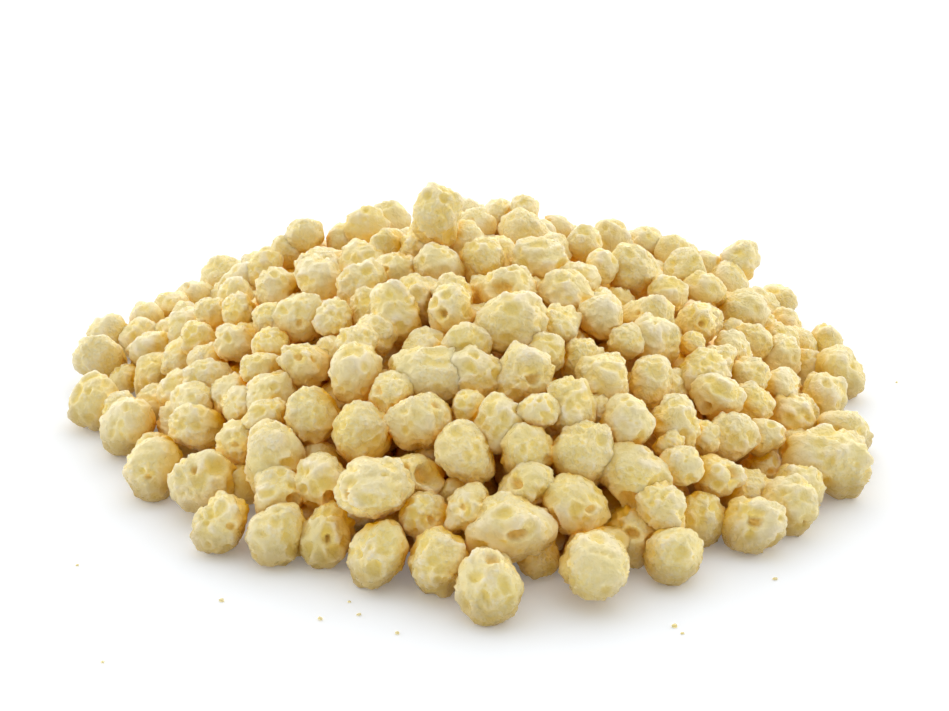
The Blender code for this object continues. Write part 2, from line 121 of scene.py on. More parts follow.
# What the eye picks out in the heap: the kind of the puff at (x, y), its width as
# a share of a ball's, and its holes as (right, up, width), seen from the front, in
# shares of its radius
BY_HAND = {
    (2.5, -35.5): ("lumpy_puffs", 1.20, ((0.05, -0.28, 0.18),)),
    (-8.5, -32.5): ("lumpy_puffs", 1.22, ((-0.70, 0.05, 0.14),)),
    (-6.0, -29.0): ("open_puffs", 1.12, ((0.60, 0.15, 0.36), (-0.10, 0.40, 0.16))),
    (4.0, -31.5): ("open_puffs", 1.10, ((-0.50, 0.35, 0.32),)),
    (3.0, -8.0): ("open_puffs", 1.10, ((-0.42, 0.10, 0.36),)),
    (13.0, -32.0): ("open_puffs", 1.0, ((-0.03, 0.05, 0.20),)),
    (23.5, -30.0): ("open_puffs", 1.04, ((0.0, 0.04, 0.22),)),
    (21.0, -26.0): ("open_puffs", 1.04, ((0.58, 0.25, 0.28),)),
    (-4.5, -33.0): ("open_puffs", 1.0, ((0.35, -0.22, 0.22),)),
    (-13.5, -28.0): ("open_puffs", 1.0, ((0.28, -0.60, 0.22),)),
    (-17.5, -28.5): ("open_puffs", 1.10, ((0.66, -0.10, 0.22),)),
    (-17.0, -7.0): ("smooth_puffs", 1.0, ((0.0, -0.28, 0.17),)),
    (-16.0, -14.5): ("blistered_puffs", 1.0, ((-0.25, 0.15, 0.16), (0.5, 0.1, 0.14))),
    (16.0, -8.5): ("crumpled_puffs", 1.08, ((-0.45, 0.40, 0.16),)),
    (29.0, -8.0): ("smooth_puffs", 1.0, ((-0.50, -0.45, 0.20),)),
    (22.0, -17.0): ("open_puffs", 1.06, ((-0.55, -0.48, 0.22),)),
    (27.5, -27.0): ("lumpy_puffs", 1.05, ((0.30, -0.66, 0.14),)),
    (-22.0, -30.0): ("blistered_puffs", 0.96, ((0.46, -0.05, 0.16),)),
    (13.5, -29.0): ("crumpled_puffs", 1.08, ((-0.20, -0.72, 0.24),)),
    (1.0, -41.5): ("crumpled_puffs", 1.0, ((0.0, 0.80, 0.16),)),
    (9.5, -39.0): ("crumpled_puffs", 1.02, ()),
    (-3.5, -37.5): ("blistered_puffs", 0.96, ()),
    (-8.5, -36.0): ("lumpy_puffs", 0.95, ()),
    (-13.0, -32.0): ("open_puffs", 1.0, ((0.15, -0.25, 0.16),)),
    (-17.5, -32.0): ("lumpy_puffs", 1.0, ()),
    (-5.5, -25.0): ("crusty_puffs", 1.0, ()),
    (-10.5, -25.0): ("crusty_puffs", 0.95, ()),
    (-1.0, -28.5): ("crusty_puffs", 0.96, ()),
    (4.0, -28.5): ("crusty_puffs", 1.06, ()),
    (9.0, -28.0): ("crusty_puffs", 0.98, ()),
    (1.5, -26.0): ("smooth_puffs", 0.93, ()),
    (8.0, -32.5): ("smooth_puffs", 1.0, ((0.60, 0.0, 0.16),)),
    (-11.0, -19.0): ("smooth_puffs", 0.96, ()),
    (-4.5, -19.5): ("smooth_puffs", 1.05, ()),
    (3.0, -14.5): ("blistered_puffs", 1.16, ()),
    (7.5, -13.5): ("blistered_puffs", 0.92, ()),
    (32.0, -20.0): ("lumpy_puffs", 1.08, ()),
    (35.0, -11.5): ("lumpy_puffs", 1.06, ()),
    (16.5, -35.5): ("crusty_puffs", 1.02, ()),
    (19.0, -29.0): ("lumpy_puffs", 0.92, ()),
    (-33.0, -11.0): ("smooth_puffs", 0.93, ()),
    (-24.5, -23.5): ("crumpled_puffs", 0.98, ()),
    (-18.0, -24.5): ("crumpled_puffs", 1.0, ()),
    (-29.5, -20.0): ("smooth_puffs", 1.02, ((-0.05, -0.25, 0.14),)),
    (13.0, -25.0): ("smooth_puffs", 1.0, ()),
    (6.0, -1.5): ("lumpy_puffs", 1.10, ()),
    (-4.0, 2.5): ("lumpy_puffs", 0.97, ()),
    (-4.0, -2.0): ("crumpled_puffs", 1.05, ()),
    (-7.5, -10.5): ("blistered_puffs", 0.97, ()),
    (-2.5, -12.0): ("open_puffs", 0.92, ((-0.30, 0.0, 0.18),)),
    (15.5, 2.5): ("crusty_puffs", 1.02, ()),
    (4.0, -21.0): ("lumpy_puffs", 1.0, ((0.25, 0.0, 0.20),)),
    (8.0, -24.5): ("blistered_puffs", 0.95, ()),
    (11.0, -20.0): ("blistered_puffs", 1.03, ()),
    (-1.0, -33.5): ("lumpy_puffs", 0.93, ((-0.30, 0.35, 0.14),)),
}
HAND_REACH = 0.8         # how far off a puff may be from the place named, mm

# Crumbs that lie on the surface beside the heap, mm: x, y and width
CRUMBS = (
    (-21.2, -39.1, 0.45), (-10.7, -39.3, 0.3), (-9.8, -41.4, 0.4), (-12.9, -42.1, 0.45),
    (-6.6, -44.3, 0.4), (15.6, -43.3, 0.5), (16.1, -44.4, 0.3), (24.8, -35.7, 0.4),
    (-29.3, -48.5, 0.3), (-34.2, -33.1, 0.3), (43.7, 5.7, 0.3),
)
CRUMB_GRID = 4           # quads along each of a crumb's six faces
CRUMB_SEED = 8
CRUMB_UNEVEN = 0.30      # share by which its radius swells and shrinks
CRUMB_SQUASH = (1.0, 0.8, 0.6)
CRUMB_LIFT = 0.25        # height of its middle, share of its width

# Which puffs are modelled, and how finely
LOOKS = 48               # directions tried from each puff's skin
LOOK_STEPS = (0.4, 1.2, 2.4, 4.0, 6.5)   # distances along them that must be free, mm
SHOWN = 0.22             # a puff shows when this share of its skin sees out
FRONT_SHOWN = 0.12       # the same, for the heap's front and top, which are seen closest
FRONT_Y = 4.0            # the front ends here, mm
LAYER_DEPTH = 6.2        # puffs deeper than this under the form are never seen, mm
FINE, MEDIUM, COARSE = 18, 11, 5   # quads along each of a puff's six faces
FLOOR_GAP = 0.02         # the skin stays this far over the surface, mm
OUTWARD_RISE = 0.8       # how steeply a rim puff's shown side looks up

# The core under the puffs, mm
CORE_SUNK = 6.4          # below the centres of the top layer
CORE_RIM = 7.5           # inside the footprint's edge
CORE_LEAST = 0.3         # its least height inside the rim
CORE_SIDES, CORE_RINGS = 96, 24

# The camera of the photograph: where it looks, and which pixel that is
IMAGE_SIZE = (949, 711)
AIM = (-0.9, -6.5)       # a point of the surface, mm from the poured heap's middle
AIM_PIXEL = (468, 433)
DISTANCE = 185.0         # mm from the camera to that point
ELEVATION = math.radians(25.0)
FOCAL_PIXELS = 1883.0
SENSOR = 36.0

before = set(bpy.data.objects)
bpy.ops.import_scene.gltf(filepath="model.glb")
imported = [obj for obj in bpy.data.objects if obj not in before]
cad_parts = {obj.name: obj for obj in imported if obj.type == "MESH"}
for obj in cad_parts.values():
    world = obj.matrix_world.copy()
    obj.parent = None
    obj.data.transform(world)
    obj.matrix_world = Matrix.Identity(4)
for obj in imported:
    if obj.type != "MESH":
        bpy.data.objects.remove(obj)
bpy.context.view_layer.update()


# --- where the puffs lie: the frame's rules ---------------------------------

def rim(angle):
    """Radius of the uneven footprint in one direction."""
    bulge = sum(share * math.cos(lobes * angle - phase) for lobes, share, phase in WAVES)
    return SPREAD * (1.0 + bulge)


def share_out(x, y):
    """Distance from the middle as a share of the footprint's radius there."""
    return math.hypot(x, y) / rim(math.atan2(y, x))


def top_height(x, y):
    """Height of the top layer's centres over a place."""
    height = RISE * (1.0 - share_out(x, y) ** SHAPE)
    for knoll_x, knoll_y, radius, rise in KNOLLS:
        apart = math.hypot(x - knoll_x, y - knoll_y) / radius
        height += rise * math.exp(-apart * apart / 2.0)
    return height


def striking_puffs():
    """Rows x, y, z, radius of the listed puffs, on the surface or on the form."""
    rows = [(x, y, width / 2.0, width / 2.0) for x, y, width in FOOT]
    for x, y, width, lift in CROWN + FACE:
        height = max(width / 2.0, top_height(x, y)) + lift
        rows.append((x, y, round(height, 4), width / 2.0))
    return np.array(rows)


def held_height(puffs, x, y, radius):
    """Height at which a puff over each place (x, y) rests on the ones below it."""
    apart = (x[:, None] - puffs[:, 0]) ** 2 + (y[:, None] - puffs[:, 1]) ** 2
    reach = (NEST * (puffs[:, 3] + radius)) ** 2 - apart
    held = np.where(reach > 0.0, puffs[:, 2] + np.sqrt(np.maximum(reach, 0.0)), radius)
    return np.maximum(held.max(axis=1, initial=radius), radius)


def taken(puffs, x, y, z, radius):
    """Whether a puff at each place would run into one of the listed puffs, or hide it."""
    apart = np.stack([x, y, z], axis=1)[:, None] - puffs[:, :3]
    ahead = apart @ np.array(SIGHT)
    straight = (apart ** 2).sum(axis=2)
    reach = (puffs[:, 3] + radius) ** 2
    hides = (ahead > 0.0) & (straight - ahead ** 2 < IN_FRONT ** 2 * reach)
    return (hides | (straight < CLEAR ** 2 * reach)).any(axis=1)


def roll(poured, striking, x, y, radius):
    """Let a puff dropped at (x, y) roll downhill; its last place as x, y, z."""
    def height(xs, ys):
        """Height at which the puff rests at each place, or LOST where it can't lie."""
        zs = held_height(poured, xs, ys, radius)
        return np.where(taken(striking, xs, ys, zs, radius), LOST, zs)

    turns = [2.0 * math.pi * k / ROLL_WAYS for k in range(ROLL_WAYS)]
    ways = np.array([(math.cos(turn), math.sin(turn)) for turn in turns]).round(9)
    z = float(height(np.array([x]), np.array([y]))[0])
    step = ROLL_START
    while step > ROLL_END:
        xs = x + step * ways[:, 0]
        ys = y + step * ways[:, 1]
        zs = height(xs, ys)
        best = int(zs.argmin())
        if zs[best] < z - LOWER:
            x, y, z = (round(float(v[best]), 4) for v in (xs, ys, zs))
        else:
            step /= 2.0
    return x, y, z


def pour(striking):
    """Rows x, y, z, radius of the poured puffs that came to rest inside the form."""
    chance = np.random.default_rng(POUR_SEED)
    poured = np.zeros((0, 4))
    for drop in range(POURED):
        angle = chance.uniform(0.0, 2.0 * math.pi)
        out = math.sqrt(chance.uniform(0.0, 1.0)) * rim(angle)
        swing = sum(chance.uniform(-1.0, 1.0) for _ in range(3))
        radius = PUFF_RADIUS + RADIUS_SPREAD * swing
        if drop > SMALL_AFTER * POURED:
            radius *= SMALL_SHARE
        radius = round(min(max(radius, RADIUS_RANGE[0]), RADIUS_RANGE[1]), 3)
        x, y, z = roll(poured, striking, out * math.cos(angle), out * math.sin(angle), radius)
        inside = share_out(x, y) <= EDGE and z <= max(radius, top_height(x, y) + TOP_SLACK)
        if inside:
            poured = np.vstack([poured, (x, y, z, radius)])
    return poured


def directions(count):
    """Unit vectors spread evenly over a sphere along a spiral."""
    rows = []
    for k in range(count):
        z = 1.0 - (2.0 * k + 1.0) / count
        turn = k * math.pi * (3.0 - math.sqrt(5.0))
        flat = math.sqrt(1.0 - z * z)
        rows.append((flat * math.cos(turn), flat * math.sin(turn), z))
    return np.array(rows).round(9)


def shown_share(puffs):
    """Share of each puff's skin from which a straight look outward is free."""
    ways = directions(LOOKS)
    shares = []
    for x, y, z, radius in puffs:
        middle = np.array((x, y, z))
        free = np.ones(len(ways), bool)
        for step in LOOK_STEPS:
            spots = middle + (radius + step) * ways
            apart = ((spots[:, None, :] - puffs[None, :, :3]) ** 2).sum(axis=2)
            free &= ~(apart < puffs[:, 3] ** 2).any(axis=1)
            free &= spots[:, 2] > 0.0
        shares.append(free.mean())
    return np.array(shares)


# --- one puff's skin --------------------------------------------------------

def ball_grid(cells):
    """Directions and quads of a cube's surface grid blown up to a ball.

    A point of the cube has coordinates (a, b, c) from -1 to 1; each is bent to
    tan(a * 45 degrees), and the vector is then made one long.  Points shared
    by two faces are the same point, so the ball is closed.
    """
    steps = np.arange(cells + 1)
    first, second = (g.ravel() for g in np.meshgrid(steps, steps, indexing="ij"))
    points, quads = [], []
    corner = np.arange(cells * (cells + 1)).reshape(cells, cells + 1)[:, :-1].ravel()
    loop = np.stack([corner, corner + cells + 1, corner + cells + 2, corner + 1], axis=1)
    for axis in range(3):
        for level in (0, cells):
            face = np.empty((len(first), 3), int)
            face[:, axis] = level
            face[:, (axis + 1) % 3] = first
            face[:, (axis + 2) % 3] = second
            points.append(face)
            turn = loop if level else loop[:, ::-1]
            quads.append(turn + len(quads) * len(first))
    lattice = np.concatenate(points)
    codes = lattice @ np.array([(cells + 1) ** 2, cells + 1, 1])
    _, kept, renumber = np.unique(codes, return_index=True, return_inverse=True)
    bent = np.tan((lattice[kept] / cells * 2.0 - 1.0) * math.pi / 4.0)
    ways = bent / np.linalg.norm(bent, axis=1, keepdims=True)
    return ways, renumber.ravel()[np.concatenate(quads)]


def step_up(low, high, value):
    """0 below low, 1 above high, and a smooth S between them."""
    t = np.clip((value - low) / (high - low), 0.0, 1.0)
    return t * t * (3.0 - 2.0 * t)


def unit(vectors):
    """The same directions, each one long."""
    return vectors / np.linalg.norm(vectors, axis=-1, keepdims=True)


def any_ways(chance, shape):
    """Random unit vectors, each direction as likely as any other."""
    return unit(chance.normal(size=(*shape, 3))).astype(np.float32)


def seen_ways(right, up):
    """Ways from a puff's middle to spots that the camera sees right and up of it."""
    towards = np.sqrt(np.maximum(1.0 - right ** 2 - up ** 2, 0.0))
    back = math.cos(ELEVATION) * towards - math.sin(ELEVATION) * up
    high = math.sin(ELEVATION) * towards + math.cos(ELEVATION) * up
    return np.stack([right, -back, high], axis=-1)


def chord(ways, centres):
    """Straight distance on the unit ball from every direction to each centre."""
    near = np.einsum("pvc,pkc->pkv", ways, centres, optimize=True)
    return np.sqrt(np.maximum(2.0 - 2.0 * near, 0.0))


def waves(ways, chance, count, pitch):
    """Soft uneven swell: the mean of `count` cosine waves through each ball."""
    puffs = len(ways)
    along = np.einsum("pvc,pkc->pkv", ways, any_ways(chance, (puffs, count)), optimize=True)
    pitches = chance.uniform(0.6, 1.4, (puffs, count, 1)) * pitch
    phases = chance.uniform(0.0, 2.0 * math.pi, (puffs, count, 1))
    return np.cos(pitches * along + phases).mean(axis=1) * math.sqrt(2.0)


def pressed_ball(ways, chance, count, reach, power):
    """A ball pressed flat on many sides, as a factor of the radius.

    With the flats' directions n at the distances d, the radius towards u is
    (WIDEST ** -p + the sum of (u . n / d) ** p) ** (-1 / p) over all u . n > 0.
    """
    puffs = len(ways)
    facing = np.einsum("pvc,pkc->pkv", ways, any_ways(chance, (puffs, count)), optimize=True)
    apart = chance.uniform(*reach, (puffs, count, 1))
    pressed = (np.maximum(facing, 0.0) / apart) ** power
    return (WIDEST ** -power + pressed.sum(axis=1)) ** (-1.0 / power)


def domes(ways, chance, count, width, height, power=0.5):
    """Bubbles under the skin: each is a round cap, and the tallest wins.

    A cap's height over its middle distance t, as a share of its width, is
    height * (1 - t * t) ** power; a root of summed fifth powers blends neighbours.
    """
    puffs = len(ways)
    centres = any_ways(chance, (puffs, count))
    widths = chance.uniform(*width, (puffs, count, 1)).astype(np.float32)
    heights = chance.uniform(*height, (puffs, count, 1)).astype(np.float32)
    t = chord(ways, centres) / widths
    caps = heights * np.maximum(1.0 - t * t, 0.0) ** power
    return (caps ** 5).sum(axis=1) ** (1.0 / 5.0)


def dents(ways, chance, outward, look, floor, lip, marked=None):
    """Rounded windows or open holes in the skin: how high, and how far inside.

    With t the distance from the middle as a share of the uneven width, the
    floor lies the dent's own depth down up to t = `floor` and rises to none at
    t = 1, and a lip stands round it, `lip` high, in a bell curve at t = LIP_AT.
    They open on the side that faces out.  Some of them are missing.  A puff
    with listed holes `marked` (right, up, width) has those and no others.
    """
    count, share, width, depth = look
    puffs = len(ways)
    centres = unit(any_ways(chance, (puffs, count)) + OUTWARD_PULL * outward[:, None, :])
    uneven = 1.0 + 0.22 * waves(ways, chance, 4, 4.0) + 0.34 * waves(ways, chance, 5, 13.0)
    widths = chance.uniform(*width, (puffs, count, 1))
    there = chance.uniform(0.0, 1.0, (puffs, count, 1)) < share
    if marked is not None:
        named = marked[:, :, 2:] > 0.0
        any_named = named.any(axis=1, keepdims=True)
        centres = np.where(named, seen_ways(marked[:, :, 0], marked[:, :, 1]), centres)
        widths = np.where(named, HOLE_REACH * marked[:, :, 2:], widths)
        there = np.where(any_named, named, there)
    t = chord(ways, centres) / widths * uneven[:, None]
    sunk = (1.0 - step_up(floor, 1.0, t)) * there
    raised = (lip * np.exp(-((t - LIP_AT) / LIP_WIDTH) ** 2) * there).max(axis=1)
    inside = sunk.max(axis=1)
    depths = chance.uniform(*depth, (puffs, count, 1)) * np.minimum(widths / DEEP_WIDTH, 1.0)
    return raised * (1.0 - inside) - (sunk * depths).max(axis=1), inside


def folds(ways, chance, count, pitch):
    """Crumpled skin: sharp ridges, (1 - |sin|) ** 3 of uneven waves, 0 to 1."""
    total = 0.0
    for _ in range(count):
        total = total + (1.0 - np.abs(np.sin(1.9 * waves(ways, chance, 5, pitch)))) ** 3
    return total / count


# What sets the kinds apart.  Heights are shares of the radius: of the lumps of the
# form, the swells, the bubbles, the blisters, the ridges of crumpled skin and the
# wrinkles; dimples are depths.  Crust is how much of the skin is rough.  Windows
# and holes are (most, share of them there, width, depth).
KINDS = {
    "smooth_puffs": dict(
        lumps=(0.02, 0.09), swells=0.079, bubbles=0.069, dimples=0.078, blisters=0.045,
        ridges=0.013, wrinkles=0.011, crust=0.25,
        windows=(23, 0.8, (0.08, 0.30), (0.04, 0.12)), holes=(2, 0.05, (0.12, 0.24), (0.15, 0.35)),
    ),
    "crusty_puffs": dict(
        lumps=(0.02, 0.08), swells=0.079, bubbles=0.094, dimples=0.092, blisters=0.076,
        ridges=0.016, wrinkles=0.027, crust=0.95,
        windows=(20, 0.5, (0.08, 0.24), (0.04, 0.11)), holes=(2, 0.08, (0.10, 0.20), (0.15, 0.35)),
    ),
    "blistered_puffs": dict(
        lumps=(0.04, 0.14), swells=0.111, bubbles=0.138, dimples=0.086, blisters=0.070,
        ridges=0.011, wrinkles=0.016, crust=0.60,
        windows=(21, 0.6, (0.08, 0.28), (0.04, 0.12)), holes=(2, 0.08, (0.12, 0.24), (0.15, 0.35)),
    ),
    "open_puffs": dict(
        lumps=(0.04, 0.12), swells=0.090, bubbles=0.094, dimples=0.099, blisters=0.063,
        ridges=0.018, wrinkles=0.016, crust=0.55,
        windows=(22, 0.7, (0.08, 0.34), (0.05, 0.14)), holes=(2, 0.5, (0.16, 0.32), (0.30, 0.55)),
    ),
    "crumpled_puffs": dict(
        lumps=(0.03, 0.12), swells=0.090, bubbles=0.081, dimples=0.099, blisters=0.058,
        ridges=0.031, wrinkles=0.022, crust=0.60,
        windows=(22, 0.7, (0.08, 0.32), (0.05, 0.14)), holes=(2, 0.08, (0.14, 0.26), (0.20, 0.40)),
    ),
    "lumpy_puffs": dict(
        lumps=(0.08, 0.20), swells=0.100, bubbles=0.100, dimples=0.092, blisters=0.063,
        ridges=0.016, wrinkles=0.014, crust=0.55,
        windows=(21, 0.7, (0.08, 0.30), (0.04, 0.12)), holes=(2, 0.08, (0.12, 0.24), (0.20, 0.40)),
    ),
}
KIND_SHARES = (0.17, 0.19, 0.18, 0.12, 0.17, 0.17)
KIND_SEED = 5
SKIN_SEED = 21
FLATS = 6                # sides on which each ball was pressed by its neighbours
FLAT_REACH = (0.86, 1.02)      # their distances from its middle, shares of its radius
WIDEST = 1.07            # furthest that a ball reaches between its flats
STRETCH = (-0.10, 0.18)  # how much longer or shorter it is along each of two axes
LEAN = 0.38              # how far each ball's points crowd to the side that shows
DEEP_WIDTH = 0.30        # narrower dents are shallower
HOLE_REACH = 1.25        # the wall of a listed hole ends at this share of its width
OUTWARD_PULL = 0.7       # how strongly windows and holes keep to the side that faces out
LIP_AT, LIP_WIDTH = 1.1, 0.18    # where a dent's lip stands and how wide, shares of its width
WARP = 0.12              # how far its round features are pulled out of true


def skins(grid, look, chance, outward, marked, fine):
    """Directions of each puff's points, their radius factors, and their marks."""
    ways = unit(grid[None] + LEAN * outward[:, None, :]).astype(np.float32)
    pull = np.stack([waves(ways, chance, 5, 4.5) for _ in range(3)], axis=2)
    bent = unit(ways + WARP * pull).astype(np.float32)
    axes = np.einsum("pvc,pkc->pkv", ways, any_ways(chance, (len(ways), 2)))
    stretch = chance.uniform(*STRETCH, (len(ways), 2, 1))
    form = 1.0 + (stretch * (axes ** 2 - 1.0 / 3.0)).sum(axis=1)
    form = form * pressed_ball(ways, chance, FLATS, FLAT_REACH, 5.0)
    form = form * (1.0 + domes(bent, chance, 11, (0.55, 0.95), look["lumps"], 1.0))
    swells = look["swells"] * domes(bent, chance, 40, (0.24, 0.48), (0.2, 1.0), 0.8)
    bubbles = look["bubbles"] * domes(bent, chance, 90, (0.13, 0.28), (0.3, 1.0))
    dimples = look["dimples"] * domes(bent, chance, 60, (0.10, 0.24), (0.3, 1.0))
    many = 420 if fine else 120
    blisters = look["blisters"] * domes(bent, chance, many, (0.07, 0.14), (0.3, 1.0))
    windows, pane = dents(bent, chance, outward, look["windows"], 0.45, 0.042)
    sink, hollow = dents(bent, chance, outward, look["holes"], 0.70, 0.040, marked)
    patch = step_up(-0.35, 0.45, waves(ways, chance, 6, 3.0) + look["crust"] - 0.5)
    ridges = look["ridges"] * folds(ways, chance, 2, 4.5)
    wrinkles = look["wrinkles"] * folds(ways, chance, 3, 13.0) if fine else 0.0
    calm = (1.0 - 0.75 * pane) * (1.0 - hollow)
    small = calm * (bubbles - dimples + ridges + (0.5 + 0.5 * patch) * (blisters + wrinkles))
    radius = form * (1.0 + swells + windows + small + sink)
    radius = radius / radius.mean(axis=1, keepdims=True)
    # relief also sets the colour: paler on bulges and gold in creases, partly the skin's own thick
    # and thin parts, partly painted light and painted shade
    relief = swells + windows + 0.6 * small
    relief = (relief - relief.mean(axis=1, keepdims=True)) * (1.0 - hollow)
    return ways, radius, (hollow, pane * (1.0 - hollow), patch * calm, relief)


UNDERSIDE = 0.15         # how much more shaded a puff's lowest place is
UNDER_FROM = 0.15        # outward ways count as downward when their up part is less
KEPT_OFF = 0.9           # share of the light behind it that a neighbour keeps off
NEIGHBOURS = 18          # of each puff, asked whether they keep the light off it
UNDER_SLOPE = (-0.6, 0.55)     # up part of the outward way: painted shade below, none above
UNDER_HEIGHT = (2.0, 5.0)      # the same over the surface, mm


def closed_in(place, ways, rows, puffs):
    """Share of the light that the neighbours keep from every place of the skins.

    A neighbour of radius r at the distance d, whose direction has the cosine c
    to the outward way and the up part h, keeps KEPT_OFF * c * (r / d) ** 2 *
    (1 + h) / 2 of it; what each leaves over is multiplied.  Less reaches a
    downward way.
    """
    apart = ((rows[:, None, :3] - puffs[None, :, :3]) ** 2).sum(axis=2)
    nearest = np.argsort(apart, axis=1)[:, 1:NEIGHBOURS + 1]
    left = np.ones(place.shape[:2])
    for near in nearest.T:
        other = puffs[near]
        towards = other[:, None, :3] - place
        distance = np.linalg.norm(towards, axis=2)
        cosine = np.maximum((towards * ways).sum(axis=2) / distance, 0.0)
        size = np.minimum(other[:, 3, None] / distance, 1.0) ** 2
        high = (1.0 + towards[..., 2] / distance) / 2.0
        left = left * (1.0 - KEPT_OFF * cosine * size * high)
    under = np.maximum(UNDER_FROM - ways[..., 2], 0.0)
    return 1.0 - left * (1.0 - UNDERSIDE * under)


def write_mesh(name, points, quads, marks):
    """A mesh piece from whole arrays, with its marks: named numbers for every point."""
    mesh = bpy.data.meshes.new(name)
    mesh.vertices.add(len(points))
    mesh.vertices.foreach_set("co", (points * MM).ravel())
    mesh.loops.add(quads.size)
    mesh.loops.foreach_set("vertex_index", quads.ravel().astype(np.int32))
    mesh.polygons.add(len(quads))
    starts = np.arange(len(quads), dtype=np.int32) * quads.shape[1]
    mesh.polygons.foreach_set("loop_start", starts)
    mesh.polygons.foreach_set("use_smooth", np.ones(len(quads), bool))
    mesh.update(calc_edges=True)
    for mark, values in marks.items():
        layer = mesh.attributes.new(mark, "FLOAT", "POINT")
        layer.data.foreach_set("value", np.asarray(values, np.float32).ravel())
    mesh.validate()
    made = bpy.data.objects.new(name, mesh)
    bpy.context.scene.collection.objects.link(made)
    return made


def puff_piece(name, puffs, grids, cells, seed, everyone):
    """All puffs of one kind as one mesh, each with as many quads as it needs."""
    points, quads = [], []
    names = ("hollow", "pane", "crust", "relief", "shade", "tint", "under")
    marks = {mark: [] for mark in names}
    count = 0
    for size in (FINE, MEDIUM, COARSE):
        rows = puffs[cells == size]
        grid, loop = grids[size]
        chance = np.random.default_rng((SKIN_SEED, seed, size))
        out = rows[:, :2] / SPREAD
        outward = unit(np.column_stack([out, np.full(len(rows), OUTWARD_RISE)]))
        marked = rows[:, 5:].reshape(-1, 2, 3)
        ways, radius, looks = skins(grid, KINDS[name], chance, outward, marked, size == FINE)
        wide = rows[:, 4, None]
        stretch = np.concatenate([wide, wide ** -0.5, wide ** -0.5], axis=1)[:, None, :]
        reach = rows[:, 3, None] * radius
        place = rows[:, None, :3] + reach[..., None] * ways * stretch
        place[..., 2] = np.maximum(place[..., 2], FLOOR_GAP)
        # painted shade: how much the neighbours keep the light off each place, which the material
        # turns into deep orange
        shade = closed_in(place, ways, rows, everyone)
        tint = np.repeat(chance.uniform(0.0, 1.0, len(rows)), len(grid))
        # painted shade on the undersides of the puffs near the surface
        under = 1.0 - step_up(*UNDER_SLOPE, ways[..., 2])
        under = under * (1.0 - step_up(*UNDER_HEIGHT, place[..., 2]))
        starts = count + np.arange(len(rows)) * len(grid)
        quads.append((loop[None] + starts[:, None, None]).reshape(-1, 4))
        points.append(place.reshape(-1, 3))
        for mark, values in zip(marks, (*looks, shade, tint, under)):
            marks[mark].append(values.ravel())
        count += len(rows) * len(grid)
    shift = np.array((*MIDDLE, 0.0))
    joined = {mark: np.concatenate(values) for mark, values in marks.items()}
    return write_mesh(name, np.concatenate(points) - shift, np.concatenate(quads), joined)


def dress(puffs, kinds):
    """Columns to add to the puffs' rows: width share and two holes, and their kinds."""
    looks = np.zeros((len(puffs), 7))
    looks[:, 0] = 1.0
    names = list(KINDS)
    for (x, y), (kind, wide, holes) in BY_HAND.items():
        apart = np.hypot(puffs[:, 0] - x, puffs[:, 1] - y)
        near = np.where(apart < HAND_REACH, puffs[:, 2], -1.0)
        here = int(near.argmax())
        kinds[here] = names.index(kind)
        looks[here, 0] = wide
        for number, hole in enumerate(holes):
            looks[here, 1 + 3 * number:4 + 3 * number] = hole
    return np.hstack([puffs, looks]), kinds


def crumbs_piece():
    """Flat uneven crumbs on the surface, each a squashed and wavy little ball."""
    rows = np.array(CRUMBS)
    grid, loop = ball_grid(CRUMB_GRID)
    chance = np.random.default_rng(CRUMB_SEED)
    ways = np.repeat(grid[None], len(rows), axis=0)
    reach = rows[:, 2, None] / 2.0 * (1.0 + CRUMB_UNEVEN * waves(ways, chance, 5, 3.0))
    place = reach[..., None] * ways * np.array(CRUMB_SQUASH)
    place[..., :2] += rows[:, None, :2]
    place[..., 2] += CRUMB_LIFT * rows[:, 2, None]
    place[..., 2] = np.maximum(place[..., 2], FLOOR_GAP)
    quads = loop[None] + (np.arange(len(rows)) * len(grid))[:, None, None]
    points = place.reshape(-1, 3) - np.array((*MIDDLE, 0.0))
    return write_mesh("crumbs", points, quads.reshape(-1, 4), {})


def core_piece():
    """The inside of the heap: a mound under the puffs, closed below, dark as painted shade.

    With q from 0 at the middle to 1 at its rim and a the angle, a point lies
    at q * (rim(a) - CORE_RIM) and at the form's height less CORE_SUNK.
    """
    angles = np.arange(CORE_SIDES) * 2.0 * math.pi / CORE_SIDES
    rims = np.array([rim(a) for a in angles]) - CORE_RIM
    out = np.sqrt(np.arange(1, CORE_RINGS + 1) / CORE_RINGS)[:, None]
    x = out * rims * np.cos(angles)
    y = out * rims * np.sin(angles)
    tops = np.array([top_height(a, b) for a, b in zip(x.ravel(), y.ravel())]).reshape(x.shape)
    z = np.maximum(tops - CORE_SUNK, CORE_LEAST)
    z[-1] = 0.0
    rings = np.stack([x, y, z], axis=2).reshape(-1, 3)
    peak = (0.0, 0.0, top_height(0.0, 0.0) - CORE_SUNK)
    points = np.vstack([rings, peak, (0.0, 0.0, 0.0)])
    ring = np.arange(CORE_SIDES)
    after = (ring + 1) % CORE_SIDES
    triangles = []
    for k in range(CORE_RINGS - 1):
        low, high = (k + 1) * CORE_SIDES, k * CORE_SIDES
        triangles.append(np.stack([low + ring, low + after, high + after], axis=1))
        triangles.append(np.stack([low + ring, high + after, high + ring], axis=1))
    last = (CORE_RINGS - 1) * CORE_SIDES
    top = np.full(CORE_SIDES, len(rings))
    triangles.append(np.stack([ring, after, top], axis=1))
    triangles.append(np.stack([last + after, last + ring, top + 1], axis=1))
    middle = np.array((*MIDDLE, 0.0))
    return write_mesh("heap_core", points - middle, np.concatenate(triangles), {})


# --- materials --------------------------------------------------------------

